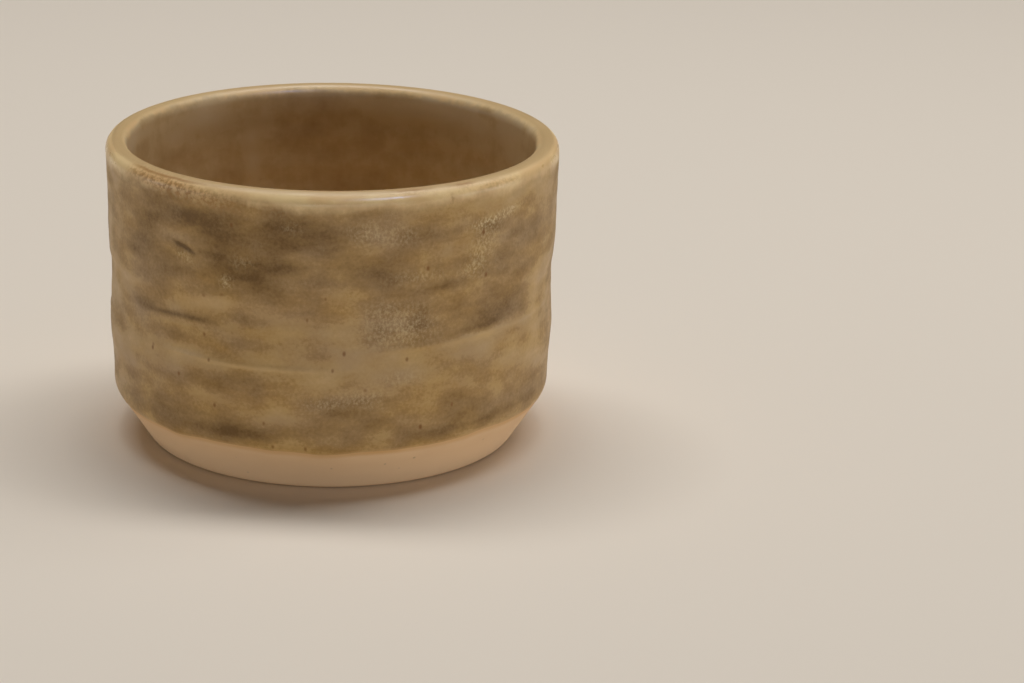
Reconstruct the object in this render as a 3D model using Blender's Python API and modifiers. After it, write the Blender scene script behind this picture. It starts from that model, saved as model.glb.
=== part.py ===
"""Espresso cup: a wheel-thrown stoneware cup with no handle, glazed inside and out above a bare clay foot.

Three pieces share one axis: the thrown clay body, the glaze coat on its outside, and the liner glaze that
was poured into it. Each is a half profile turned about the axis with a Screw modifier.
Metres, +Z up. The origin is the centre of the foot, on the surface that the cup stands on.
"""

import math

import bpy
from mathutils import Vector

MM = 0.001

# The finished cup, measured over the glaze
HEIGHT = 40.4 * MM
RIM_RADIUS = 29.9 * MM
HIP_RADIUS = 29.0 * MM  # where the wall turns into the bevel above the foot
LIP_THICKNESS = 3.5 * MM
WALL_AT_HIP = 4.2 * MM  # the wall thickens towards the floor of the hollow
INNER_CORNER_RADIUS = 7.0 * MM

# The soft waist and belly that the potter's fingers left in the outside of the wall
WAIST_DEPTH = 0.22 * MM
WAIST_HEIGHT = 23.3 * MM
WAIST_SPREAD = 3.2 * MM
BELLY_SWELL = 0.23 * MM
BELLY_HEIGHT = 15.3 * MM
BELLY_SPREAD = 3.2 * MM

# The bare clay foot
BEVEL_WIDTH = 4.5 * MM  # how far the base is set in from the hip
BEVEL_HEIGHT = 7.0 * MM
HIP_ROUND = 4.0 * MM
BASE_EDGE_ROUND = 0.8 * MM
FOOT_RING_WIDTH = 4.5 * MM
FOOT_RECESS_DEPTH = 0.9 * MM
FOOT_RECESS_SLOPE = 1.2 * MM  # how far the side of the recess runs inwards
FLOOR_THICKNESS = 4.5 * MM  # clay, from the standing surface to the floor of the hollow

# The glaze coats
GLAZE_THICKNESS = 0.5 * MM
BOND_GAP = 0.3 * MM  # clearance between the clay and a coat that is fused to it
GLAZE_LINE_HEIGHT = 6.7 * MM  # where the outer coat stops, on the turn of the hip
SEAM_ANGLE = math.radians(22)  # the coats meet on the lip, this far outside its crest
SEAM_GAP = 0.3 * MM

# Fineness of the turned surfaces
TURN_STEPS = 64
ARC_STEP = math.radians(22.5)
WALL_STEPS = 10
WELD_DISTANCE = 0.001 * MM

# Finishes: name, sRGB colour and roughness
CLAY_FINISH = ("buff_stoneware", (0.66, 0.53, 0.41), 0.85)
OUTER_FINISH = ("satin_ash_glaze", (0.54, 0.44, 0.29), 0.35)
LINER_FINISH = ("satin_liner_glaze", (0.44, 0.32, 0.19), 0.30)

# What follows from the sizes above. A point of a profile is (distance from the axis, height).
COVER = BOND_GAP + GLAZE_THICKNESS
BASE_RADIUS = HIP_RADIUS - BEVEL_WIDTH
BASE_CORNER = Vector((BASE_RADIUS, 0))
CLAY_HIP = Vector((HIP_RADIUS - COVER, BEVEL_HEIGHT * (BEVEL_WIDTH - COVER) / BEVEL_WIDTH))
LIP_CENTRE = Vector((RIM_RADIUS - LIP_THICKNESS / 2, HEIGHT - LIP_THICKNESS / 2))
CLAY_LIP_RADIUS = LIP_THICKNESS / 2 - COVER
CREST = math.pi / 2
SEAM = CREST - SEAM_ANGLE
HALF_SEAM = SEAM_GAP / 2 / (CLAY_LIP_RADIUS + BOND_GAP)


def arc(centre, radius, start, end):
    """Points along an arc. Angle 0 points away from the axis, and a right angle points up."""
    count = max(2, math.ceil(abs(end - start) / ARC_STEP))
    angles = [start + (end - start) * i / count for i in range(count + 1)]
    return [centre + radius * Vector((math.cos(a), math.sin(a))) for a in angles]


def rounded_corner(before, corner, after, radius):
    """Points along the arc that rounds off the corner between two straight runs."""
    to_before = (before - corner).normalized()
    to_after = (after - corner).normalized()
    half = to_before.angle(to_after) / 2
    centre = corner + (to_before + to_after).normalized() * radius / math.sin(half)
    first = corner + to_before * radius / math.tan(half) - centre
    last = corner + to_after * radius / math.tan(half) - centre
    start = math.atan2(first.y, first.x)
    sweep = math.remainder(math.atan2(last.y, last.x) - start, math.tau)
    return arc(centre, radius, start, start + sweep)


def bump(height, middle, spread):
    """A soft bump of height 1 around the middle."""
    return math.exp(-(((height - middle) / spread) ** 2))


def clay_wall(height):
    """The point of the clay's outside at this height: a slight flare from hip to lip, with waist and belly."""
    share = (height - CLAY_HIP.y) / (LIP_CENTRE.y - CLAY_HIP.y)
    flare = CLAY_HIP.x + (RIM_RADIUS - HIP_RADIUS) * share
    belly = BELLY_SWELL * bump(height, BELLY_HEIGHT, BELLY_SPREAD)
    waist = WAIST_DEPTH * bump(height, WAIST_HEIGHT, WAIST_SPREAD)
    return Vector((flare + belly - waist, height))


def clay_inside(lip_end):
    """The clay's surface from the middle of the floor up to this angle on the lip."""
    middle = Vector((0, FLOOR_THICKNESS))
    corner = Vector((HIP_RADIUS - WALL_AT_HIP + COVER, FLOOR_THICKNESS))
    lip = arc(LIP_CENTRE, CLAY_LIP_RADIUS, math.pi, lip_end)
    return [middle, *rounded_corner(middle, corner, lip[0], INNER_CORNER_RADIUS + COVER), *lip]


def clay_outside(lip_start):
    """The clay's surface from this angle on the lip, down the wall and the bevel, to the foot."""
    lip = arc(LIP_CENTRE, CLAY_LIP_RADIUS, lip_start, 0)
    top, bottom = LIP_CENTRE.y, CLAY_HIP.y + HIP_ROUND
    wall = [clay_wall(top + (bottom - top) * i / WALL_STEPS) for i in range(1, WALL_STEPS + 1)]
    hip = rounded_corner(wall[-1], CLAY_HIP, BASE_CORNER, HIP_ROUND)
    base_edge = rounded_corner(CLAY_HIP, BASE_CORNER, Vector((0, 0)), BASE_EDGE_ROUND)
    return [*lip, *wall, *hip, *base_edge]


def foot():
    """The underside, from the inner edge of the foot ring to the axis."""
    ring_inside = BASE_RADIUS - FOOT_RING_WIDTH
    return [
        Vector((ring_inside, 0)),
        Vector((ring_inside - FOOT_RECESS_SLOPE, FOOT_RECESS_DEPTH)),
        Vector((0, FOOT_RECESS_DEPTH)),
    ]


def above(points, height):
    """The points of a falling outline down to this height, with a point added there."""
    kept = [p for p in points if p.y > height]
    last, following = kept[-1], points[len(kept)]
    return [*kept, last.lerp(following, (last.y - height) / (last.y - following.y))]


def outward(points):
    """The direction out of the clay at each point."""
    found = []
    for i in range(len(points)):
        along = (points[min(i + 1, len(points) - 1)] - points[max(i - 1, 0)]).normalized()
        found.append(Vector((-along.y, along.x)))
    return found


def offset(points, distance):
    """The outline moved out of the clay by this distance."""
    return [p + distance * n for p, n in zip(points, outward(points))]


def glaze_roll(points):
    """The rounded edge where a coat stops: an arc from its outer face to its face on the clay."""
    middle = offset(points, BOND_GAP + GLAZE_THICKNESS / 2)[-1]
    out = outward(points)[-1]
    start = math.atan2(out.y, out.x)
    return arc(middle, GLAZE_THICKNESS / 2, start, start - math.pi)[1:-1]


def linear(srgb):
    """An sRGB colour as the linear RGBA that a shader takes."""
    return [c / 12.92 if c <= 0.04045 else ((c + 0.055) / 1.055) ** 2.4 for c in srgb] + [1.0]


def finish(name, srgb, roughness):
    """A material with one colour and roughness."""
    material = bpy.data.materials.new(name)
    material.use_nodes = True
    shader = material.node_tree.nodes["Principled BSDF"]
    shader.inputs["Base Color"].default_value = linear(srgb)
    shader.inputs["Roughness"].default_value = roughness
    shader.inputs["Metallic"].default_value = 0.0
    return material


def turned(name, profile, closed, material):
    """A piece turned about the axis. A closed profile makes a ring, an open one ends on the axis."""
    ends = [(i, i + 1) for i in range(len(profile) - 1)]
    if closed:
        ends.append((len(profile) - 1, 0))
    mesh = bpy.data.meshes.new(name)
    mesh.from_pydata([(p.x, 0, p.y) for p in profile], ends, [])
    mesh.materials.append(material)
    piece = bpy.data.objects.new(name, mesh)
    screw = piece.modifiers.new("turn", "SCREW")
    screw.axis = "Z"
    screw.steps = screw.render_steps = TURN_STEPS
    screw.use_merge_vertices = True
    screw.merge_threshold = WELD_DISTANCE
    screw.use_smooth_shade = True
    return piece


def clay_body(material):
    """The thrown and trimmed body: floor, wall, lip, bevel and foot ring in one piece of clay."""
    profile = [*clay_inside(SEAM), *clay_outside(SEAM)[1:], *foot()]
    return turned("clay_body", profile, False, material)


def outer_glaze(material):
    """The coat on the outside, from the seam on the lip down to the glaze line."""
    under = above(clay_outside(SEAM - HALF_SEAM), GLAZE_LINE_HEIGHT)
    profile = [*offset(under, COVER), *glaze_roll(under), *reversed(offset(under, BOND_GAP))]
    return turned("outer_glaze", profile, True, material)


def liner_glaze(material):
    """The coat on the inside, from the middle of the floor up to the seam on the lip."""
    under = clay_inside(SEAM + HALF_SEAM)
    profile = [*offset(under, COVER), *reversed(offset(under, BOND_GAP))]
    return turned("liner_glaze", profile, False, material)


def main():
    for old in list(bpy.data.objects):
        bpy.data.objects.remove(old)
    cup = bpy.data.collections.new("espresso_cup")
    bpy.context.scene.collection.children.link(cup)
    axis = bpy.data.objects.new("cup_axis", None)
    cup.objects.link(axis)
    pieces = [
        clay_body(finish(*CLAY_FINISH)),
        outer_glaze(finish(*OUTER_FINISH)),
        liner_glaze(finish(*LINER_FINISH)),
    ]
    for piece in pieces:
        cup.objects.link(piece)
        piece.parent = axis


main()
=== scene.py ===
"""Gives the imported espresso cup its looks: thrown clay, ash glaze outside and a liner glaze inside.

The file is laid out as a Blender add-on and is run as a script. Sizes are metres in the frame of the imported
model: the cup stands on z = 0 and was turned about Z. Azimuth 0 faces the camera, along -Y, and grows to the
right, towards +X.
"""

import math
import random

import bpy
import numpy as np
from mathutils import Matrix, Vector


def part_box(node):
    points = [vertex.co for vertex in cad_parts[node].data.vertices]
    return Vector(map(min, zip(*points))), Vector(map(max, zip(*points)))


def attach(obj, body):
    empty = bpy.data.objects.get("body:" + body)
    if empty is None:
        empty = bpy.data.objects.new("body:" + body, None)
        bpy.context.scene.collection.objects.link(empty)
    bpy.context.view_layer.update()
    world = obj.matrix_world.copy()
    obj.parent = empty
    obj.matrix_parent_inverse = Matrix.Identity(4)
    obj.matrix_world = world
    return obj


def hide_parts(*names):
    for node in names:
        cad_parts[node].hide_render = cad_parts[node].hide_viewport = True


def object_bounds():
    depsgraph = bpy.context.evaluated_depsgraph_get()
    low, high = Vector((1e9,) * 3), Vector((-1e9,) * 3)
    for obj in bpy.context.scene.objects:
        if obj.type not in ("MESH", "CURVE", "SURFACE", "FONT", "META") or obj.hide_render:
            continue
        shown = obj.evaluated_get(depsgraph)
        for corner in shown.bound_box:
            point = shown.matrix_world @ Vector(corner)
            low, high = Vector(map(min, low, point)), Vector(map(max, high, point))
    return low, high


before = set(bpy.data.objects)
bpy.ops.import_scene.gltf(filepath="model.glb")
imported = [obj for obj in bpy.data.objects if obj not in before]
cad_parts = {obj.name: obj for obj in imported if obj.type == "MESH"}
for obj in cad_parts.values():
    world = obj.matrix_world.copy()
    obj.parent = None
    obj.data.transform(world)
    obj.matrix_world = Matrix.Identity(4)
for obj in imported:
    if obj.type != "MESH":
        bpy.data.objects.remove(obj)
CAD_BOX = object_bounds()

bl_info = {
    "name": "Espresso cup looks",
    "version": (1, 0, 0),
    "blender": (4, 5, 0),
    "location": "3D View > Sidebar > Cup",
    "description": "Shapes and glazes a thrown stoneware espresso cup on its packed frame",
    "category": "Object",
}

MM = 0.001
RIM_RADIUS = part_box("outer_glaze")[1].x
LIP_TOP = CAD_BOX[1].z

# Fineness of the meshes
RING_POINTS = 480
SKIN_STEP = 0.05 * MM
ARC_STEP = math.radians(4)
AXIS_HOLE = 0.2 * MM  # radius of the small flat face that closes a mesh on the axis
BEAD_ROWS = 7  # across the roll at the lower edge of the outer coat
LAP_ROWS = 16  # across the seam on the lip
BURIED_ROWS = 14
BURIED_DEPTH = 0.1 * MM  # how far the hidden face of a coat lies inside the clay, where glaze and clay fuse
OUTER_ROW = 0.2 * MM  # from row to row of the outer coat
LINER_ROW = 0.35 * MM
CLAY_ROW = 0.33 * MM  # where the clay shows
HIDDEN_ROW = 1.0 * MM  # where a coat hides the clay
CLAY_SHOWS_BELOW = 12 * MM

AZIMUTHS = np.linspace(-math.pi, math.pi, RING_POINTS, endpoint=False)

# What the potter's fingers left in the outside of the wall, all the way round: height of the middle, reach
# above it, reach below it, and push, out above 0 and in below 0, all in millimetres.
FINGER_MARKS = (
    (28.6, 2.6, 2.6, 0.08),
    (23.6, 1.7, 4.0, -0.24),
    (15.4, 2.4, 2.9, 0.21),
)

# Fine ridges between two passes of the fingers: azimuth of the middle and half length (degrees), then height
# of the middle, rise along the half length, half width and push (mm).
RIDGES = (
    (42, 30, 20.1, 0.3, 0.35, 0.13),
    (-24, 21, 17.45, -0.1, 0.35, 0.10),
    (-40, 15, 21.3, 0.2, 0.40, 0.06),
    (-38, 11, 25.4, 1.0, 0.60, 0.05),
    (132, 40, 20.8, -0.3, 0.40, 0.09),
    (-38.0, 3.4, 31.75, -0.5, 0.32, -0.12),
    (-39.0, 3.2, 30.95, -0.4, 0.50, 0.08),
    (175, 52, 14.6, 0.4, 0.35, 0.06),
    (-120, 45, 25.0, 0.5, 0.45, 0.07),
    (-95, 24, 17.8, -0.2, 0.35, 0.06),
)

# Where the hands worked the clay. Each pair is where a mark starts to show and where it is full.
OUTER_FACE = (26.4 * MM, 28.6 * MM)  # radius
ABOVE_HIP = (7 * MM, 10 * MM)  # height
SPIRAL_STARTS = (9 * MM, 13 * MM)  # height, on the outside
LEAN_HEIGHTS = (16 * MM, 34 * MM)
RIM_DIPS = (20 * MM, LIP_TOP)  # height
LOW_SIDE = math.radians(-55)  # azimuth at which the rim is lowest
SIDES = 3  # the wall is out of round as a soft triangle
SIDES_TURN = 2.6  # radians
INNER_WALL = (8 * MM, 16 * MM)  # height
INNER_LIP = (33 * MM, 38 * MM)  # height at which the spiral inside dies out
INNER_PITCH = 1.3  # of the spiral on the inner wall, against the outside
ABOVE_FOOT = (3 * MM, 4 * MM)  # height of what belongs to the hollow's floor
FLOOR_EDGE = (17 * MM, 25 * MM)  # radius at which the floor's dish dies out
FLOOR_SPIRAL = (2 * MM, 6 * MM)  # radius

# Waves round the cup that make an edge wander: how many, and their share
WANDER_WAVES = ((2, 1.0), (3, 0.7), (5, 0.5), (9, 0.3), (17, 0.25), (31, 0.2), (53, 0.2), (89, 0.15))
LINE_PHASE = 1.1
SEAM_PHASE = 0.4

SEAM_FULL = 0.2  # how far past the seam a coat is full, in seam laps
ROLL_SHARE = 0.3  # of the outer coat's thickness that its rolled edge has at once

# Where the glaze line runs higher or lower than usual: azimuth and half length (degrees) and rise (mm)
LINE_SHIFTS = (
    (54, 20, 0.40),
    (36, 4, -0.10),
    (-80, 14, -0.40),
    (82, 14, -0.40),
    (-57, 12, -0.22),
    (-43, 5, -0.40),
    (-15, 4, -0.22),
    (-2, 6, -0.45),
    (41, 8, 0.32),
)

# Marks in the glazes: azimuth (degrees) and height (mm) of the middle, half length round the
# wall and half height (mm), tilt (degrees) and strength.
# Where the outer glaze ran thick (above 0, darker) or thin (below 0, lighter), the broad ones first; the
# lighter marks at the wall's left and right edges, as the camera sees them, are painted sheen
DEPTH_MARKS = (
    (-36, 33.0, 18.0, 6.0, 0, 0.30),
    (-32, 8.2, 24.0, 1.4, 0, 0.12),
    (32, 8.4, 24.0, 1.5, 0, 0.10),
    (-42, 36.0, 9.0, 2.4, -4, 0.50),
    (-27, 35.4, 6.0, 2.4, -4, 0.45),
    (-9, 35.6, 4.5, 2.6, 0, 1.05),
    (2, 34.2, 3.0, 1.6, 0, 0.50),
    (22, 35.4, 4.5, 1.8, 0, 0.45),
    (44, 33.8, 4.5, 1.5, 0, 0.25),
    (-22, 29.6, 8.5, 2.1, -2, 0.52),
    (-40, 29.0, 3.0, 1.2, 0, 0.35),
    (-54, 30.2, 3.6, 2.4, 0, 0.75),
    (-47, 26.4, 3.4, 1.6, 2, 0.55),
    (-16, 27.2, 4.5, 1.5, 0, 0.25),
    (10, 28.6, 6.0, 2.8, 0, 0.48),
    (43, 28.9, 5.0, 1.7, 2, 0.75),
    (58, 31.6, 4.5, 2.2, 4, 0.65),
    (38, 23.8, 8.0, 2.2, 0, 0.35),
    (-25, 15.2, 6.5, 1.1, 0, 0.60),
    (2, 13.0, 6.5, 1.2, 0, 0.60),
    (8, 10.8, 6.0, 1.5, 0, 0.75),
    (-46, 19.2, 4.5, 0.9, 0, 0.30),
    (36, 10.6, 5.0, 1.7, 0, 0.55),
    (56, 9.4, 6.0, 1.6, 3, 0.65),
    (-31, 8.5, 8.0, 1.4, 0, 0.70),
    (-56, 8.8, 6.0, 1.5, 0, 0.55),
    (-44, 10.8, 4.0, 1.0, 0, 0.40),
    (-35, 35.9, 3.0, 1.0, -8, 0.35),
    (-29, 34.0, 3.5, 0.8, -10, 0.45),
    (-31, 31.4, 3.6, 0.6, -3, 0.45),
    (-20, 31.0, 2.2, 0.5, 0, 0.35),
    (-21, 29.6, 2.5, 1.0, 0, 0.25),
    (-12, 30.8, 3.4, 0.8, 0, 0.58),
    (-44, 22.3, 4.2, 0.42, 4, 1.20),
    (-36, 22.4, 2.6, 0.35, 2, 0.70),
    (-56, 22.2, 2.6, 1.4, 0, 0.35),
    (-23, 23.6, 2.8, 1.2, 0, 0.45),
    (-25, 8.4, 3.4, 1.2, -3, 0.60),
    (8, 31.0, 3.4, 1.1, 0, 0.40),
    (22, 24.8, 1.5, 2.6, 0, 0.45),
    (27, 27.6, 4.6, 0.7, 2, 0.60),
    (50, 22.9, 5.0, 1.6, 2, 0.45),
    (47, 21.8, 5.0, 0.8, 2, 0.60),
    (42, 21.1, 8.0, 0.5, 2, 0.45),
    (30, 12.6, 2.4, 1.1, 0, 0.50),
    (34, 8.2, 6.0, 0.8, 1, 0.60),
    (-40.4, 32.05, 0.8, 0.30, -12, 1.05),
    (-38.6, 31.85, 0.8, 0.28, -2, 0.75),
    (-36.9, 31.45, 1.0, 0.30, -24, 1.15),
    (-36, 24.4, 5.5, 1.1, 7, -0.70),
    (-48, 16.6, 8.0, 1.4, 0, -0.55),
    (-18, 21.6, 6.0, 1.0, 0, -0.35),
    (-24, 38.2, 4.0, 0.8, 0, -0.35),
    (6, 17.8, 7.0, 1.8, 0, -0.55),
    (40, 18.6, 10.0, 1.1, 1, -0.40),
    (43, 19.9, 9.0, 0.45, 2, -1.10),
    (-21, 17.35, 10.0, 0.28, 0, -1.00),
    (-4, 16.2, 3.2, 1.0, 0, -0.50),
    (-14, 24.2, 4.0, 1.2, 0, -0.35),
    (-41, 21.3, 4.0, 0.4, 1, -0.30),
    (-41, 31.0, 2.0, 1.0, -5, -0.50),
    (-41, 33.2, 3.0, 0.7, -4, -0.50),
    (-9, 32.6, 3.0, 0.6, 0, -0.45),
    (-2, 27.6, 3.0, 1.2, 0, -0.35),
    (-18, 11.8, 7.0, 1.2, 0, -0.35),
    (52, 38.0, 14.0, 1.2, 4, -0.70),
    (-60, 32.6, 3.0, 1.4, 0, -0.35),
    (-8, 22.6, 5.0, 1.8, 0, -0.35),
    (17, 19.2, 6.0, 1.0, 0, -0.40),
    # Painted sheen: a tall lighter band along the wall's right edge as the camera sees it
    (66, 24.0, 3.5, 4.0, 0, -0.50),
    (55, 16.8, 5.0, 1.6, 0, -0.50),
    (10, 32.8, 3.0, 0.9, 0, -0.35),
    # Painted sheen: tall lighter bands along the wall's left edge as the camera sees it
    (-67, 31.5, 3.5, 2.6, 0, -0.45),
    (-69, 24.6, 4.0, 3.0, 0, -0.45),
    (-68, 13.0, 4.0, 3.0, 0, -0.45),
)

# Where iron stained it golden
OCHRE_MARKS = (
    (-40, 19.4, 6.0, 0.9, 0, 0.80),
    (-24, 19.0, 6.0, 0.8, 0, 0.45),
    (-20, 14.0, 7.0, 1.4, 0, 0.45),
    (-36, 11.6, 7.0, 1.0, 0, 0.45),
    (22, 11.8, 3.5, 2.2, 0, 0.60),
    (30, 14.2, 3.0, 1.2, 0, 0.45),
    (33, 31.8, 2.6, 2.0, 0, 0.50),
    (18, 33.0, 2.5, 1.6, 0, 0.35),
    (-3, 28.0, 3.5, 1.2, 0, 0.45),
    (27, 22.6, 4.0, 1.6, 0, 0.45),
    (-14, 21.0, 3.0, 1.4, 0, 0.30),
    (50, 26.4, 4.5, 0.8, 2, 0.40),
    (-34, 27.6, 3.5, 0.9, 0, 0.35),
)

# Where ash left it greyer; the mark low on the wall's left edge is painted sheen instead
ASH_MARKS = (
    (-57, 21.6, 3.0, 1.8, 0, 1.10),
    (-56, 27.6, 3.0, 2.4, 0, 0.60),
    (48, 33.0, 5.0, 2.0, 0, 0.80),
    (50, 22.4, 5.5, 1.6, 0, 0.55),
    (14, 23.4, 4.5, 3.0, 0, 0.90),
    (8, 13.8, 4.5, 1.5, 0, 0.85),
    (16, 16.4, 4.0, 1.2, 0, 0.80),
    (2, 19.0, 5.0, 1.8, 0, 0.50),
    (9, 35.6, 4.0, 1.6, 0, 0.70),
    (20, 34.0, 4.0, 1.6, 0, 0.45),
    (52, 10.2, 5.0, 1.4, 0, 0.70),
    (-45, 14.6, 4.5, 1.4, 0, 0.80),
    (-22, 20.4, 3.5, 0.9, 0, 0.70),
    (-3, 12.6, 3.5, 0.9, 0, 0.60),
    (-12, 24.8, 5.0, 1.6, 0, 0.70),
    (-40, 33.0, 3.5, 0.9, -4, 0.60),
    (-7, 32.8, 3.5, 0.8, 0, 0.60),
    (37, 18.2, 4.0, 1.4, 0, 0.50),
    # Painted sheen: a greyer patch low on the wall's left edge as the camera sees it
    (-64, 12.0, 5.0, 4.0, 0, 0.60),
    (-12, 10.4, 4.0, 1.0, 0, 0.50),
)

# Where pale crystals grew as it cooled
CRYSTAL_MARKS = (
    (8, 35.4, 2.4, 1.3, 0, 0.60),
    (17, 34.8, 3.0, 1.3, 0, 0.40),
    (40, 34.9, 2.0, 0.60, 4, 1.50),
    (48, 35.6, 2.6, 0.55, 8, 1.50),
    (41, 33.0, 2.6, 1.6, 0, 0.65),
    (39, 31.0, 1.8, 1.3, 0, 0.50),
    (37, 29.3, 1.8, 1.4, 0, 0.70),
    (22, 29.3, 3.5, 0.9, 0, 0.45),
    (13, 22.0, 4.0, 1.9, 0, 0.50),
    (20, 22.4, 3.2, 2.0, 0, 0.45),
    (14, 25.0, 4.5, 1.5, 0, 0.40),
    (8, 13.6, 3.4, 1.4, 0, 0.60),
    (17, 16.2, 3.2, 1.0, 0, 0.50),
    (-26.5, 28.2, 0.9, 0.8, 0, 1.10),
    (-38.9, 30.6, 1.4, 0.7, -9, 0.90),
    (-3, 13.0, 2.4, 0.8, 0, 0.60),
    (-9, 36.0, 1.4, 0.9, 0, 0.40),
    (-22, 31.0, 1.5, 0.8, 0, 0.45),
)

# Where iron bled through the thin glaze on the lip
RUST_MARKS = (
    (-46, 39.2, 4.0, 1.0, 0, 1.20),
    (-36, 38.7, 4.0, 1.2, 0, 1.10),
    (-55, 39.4, 2.5, 0.8, 0, 0.80),
    (-26, 38.3, 3.0, 1.1, 0, 0.80),
    (-14, 38.0, 2.5, 0.8, 0, 0.45),
    (44, 39.6, 5.0, 0.5, 0, 0.45),
    (20, 40.2, 3.0, 0.4, 0, 0.50),
    (34, 40.2, 2.0, 0.4, 0, 0.45),
    (30, 38.6, 0.4, 0.8, 0, 0.80),
)

# Where the liner ran thin and greyer (above 0) or lies thick and darker (below 0)
LINER_MARKS = (
    (-140, 37.0, 4.0, 1.6, 0, 0.75),
    (-126, 35.6, 3.0, 1.0, 0, 0.55),
    (-155, 30.5, 1.3, 3.6, 0, 0.75),
    (160, 37.0, 2.5, 1.2, 0, 0.45),
    (132, 36.6, 3.5, 1.2, 0, 0.40),
    (100, 34.0, 4.0, 2.5, 0, 0.45),
    (150, 37.6, 7.0, 1.3, 0, 1.40),
    (-100, 38.0, 7.0, 0.9, 0, 1.00),
    (-127, 33.2, 3.0, 0.9, 0, -0.55),
    (-168, 33.5, 5.5, 2.0, 0, -0.30),
    (167, 32.5, 4.0, 2.4, 0, -0.35),
    (178, 26.0, 5.0, 2.5, 0, -0.40),
    (-150, 17.0, 10.0, 6.0, 0, 0.45),
    (150, 17.0, 8.0, 6.0, 0, 0.25),
)

# Marks of depth in the outer glaze on the side that faces away: how many, and the seed of their random draw
BACK_MARKS = 60
BACK_SEED = 11

# Iron specks that fired through the glaze: azimuth (degrees), height (mm) and radius (mm)
IRON_SPECKS = (
    (23.7, 30.2, 0.28),
    (40.8, 28.0, 0.30),
    (39.6, 33.7, 0.30),
    (-1.5, 26.9, 0.20),
    (-6.0, 24.0, 0.22),
    (3.0, 19.7, 0.28),
    (18.7, 18.5, 0.25),
    (0.2, 17.5, 0.22),
    (-33.0, 20.7, 0.24),
    (-50.6, 17.0, 0.28),
    (-41.0, 14.7, 0.26),
    (-31.5, 17.5, 0.24),
    (-30.3, 11.5, 0.26),
    (-17.0, 10.0, 0.22),
    (22.7, 9.2, 0.30),
    (31.5, 11.5, 0.24),
    (-24.6, 35.6, 0.24),
    (-6.5, 6.9, 0.25),
    (-14.8, 6.9, 0.22),
)
SPECK_SQUEEZE = 0.7  # specks ran down a little, so heights are squeezed before a speck is drawn round
SPECK_EDGE = 1.25  # where a speck has faded out, in radii
SPECK_CORE = 0.2  # where it is strongest, in radii
SPECK_STRENGTH = 2.8  # for each millimetre of radius, because small specks are fainter

# The camera, fitted to the rim, the wall and the foot of the cup
LENS = 100  # mm
SENSOR_WIDTH = 36  # mm
NEAREST = 10 * MM  # what is nearer to the camera is not drawn
CAMERA_PLACE = Vector((0, -363.46, 134.05)) * MM
CAMERA_TURN = math.radians(-3.825)
CAMERA_PITCH = math.radians(-18.585)  # below level
CAMERA_ROLL = math.radians(1.369)

FLOOR_HALF = 1.5  # metres, half the width of the floor


def linear(code):
    """The linear RGB of an sRGB hex colour such as #93784C."""
    parts = [int(code[i : i + 2], 16) / 255 for i in (1, 3, 5)]
    return [c / 12.92 if c <= 0.04045 else ((c + 0.055) / 1.055) ** 2.4 for c in parts]


def length(name, text, millimetres):
    """A property that holds a length."""
    return bpy.props.FloatProperty(
        name=name, description=text, default=millimetres * MM, subtype="DISTANCE", unit="LENGTH", precision=5
    )


def degrees(name, text, value):
    """A property that holds an angle."""
    return bpy.props.FloatProperty(
        name=name, description=text, default=math.radians(value), subtype="ANGLE", unit="ROTATION"
    )


def colour(name, text, code):
    """A property that holds a colour."""
    return bpy.props.FloatVectorProperty(
        name=name, description=text, default=linear(code), subtype="COLOR", min=0.0, max=1.0
    )


def power(name, text, watts):
    """A property that holds the power of a light."""
    return bpy.props.FloatProperty(name=name, description=text, default=watts, unit="POWER")


class CupSizes(bpy.types.PropertyGroup):
    """Sizes of the thrown and glazed cup."""

    lip_thickness: length("Lip thickness", "Across the round lip, over both coats", 3.2)
    wall_at_floor: length("Wall at the floor", "Thickness of the wall where it meets the floor", 4.2)
    floor_height: length("Floor height", "From the table to the clay floor of the hollow", 4.9)
    inner_corner: length("Inner corner", "Radius between the floor and the wall of the hollow", 7.0)
    hip_radius: length("Hip radius", "Radius where the wall turns into the bevel, over the glaze", 29.0)
    hip_round: length("Hip round", "Radius of the turn from the wall to the bevel", 3.0)
    bevel_width: length("Bevel width", "How far the base is set in from the hip", 4.5)
    bevel_height: length("Bevel height", "Height of the bevel above the table", 7.0)
    base_edge: length("Base edge", "Radius of the edge that meets the table", 1.2)
    foot_ring: length("Foot ring", "Width of the ring that the cup stands on", 4.5)
    recess_depth: length("Recess depth", "How far the underside is turned out inside the foot ring", 0.9)
    recess_slope: length("Recess slope", "How far the side of the recess runs inwards", 1.2)
    glaze_thickness: length("Glaze thickness", "Thickness of both fired coats", 0.2)
    glaze_line: length("Glaze line", "Height at which the outer coat stops", 6.35)
    line_wander: length("Line wander", "How far the glaze line wanders up and down", 0.17)
    bead: length("Bead", "Radius of the roll at the edge of a coat", 0.12)
    feather: length("Feather", "How far from its edge a coat reaches its full thickness", 2.0)
    seam_lap: length("Seam lap", "How far each coat runs on under the other one on the lip", 0.5)
    ring_pitch: length("Ring pitch", "Rise of the throwing spiral in one turn", 3.1)
    ring_depth: length("Ring depth", "Height of the throwing spiral on the outside", 0.012)
    inner_ring_depth: length("Inner ring depth", "Height of the throwing spiral in the hollow", 0.03)
    floor_dish: length("Floor dish", "How far the hollow's floor rises from its middle to its edge", 0.8)
    lean: length("Lean", "How far the upper wall leans in on its left side", 0.26)
    out_of_round: length("Out of round", "How far the wall swells and draws in round the cup", 0.05)
    rim_dip: length("Rim dip", "How far the rim dips on its low side", 0.1)
    seam_angle: degrees("Seam angle", "How far outside the crest of the lip the two coats meet", 27)
    seam_wander: degrees("Seam wander", "How far the seam wanders across the lip", 16)


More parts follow.
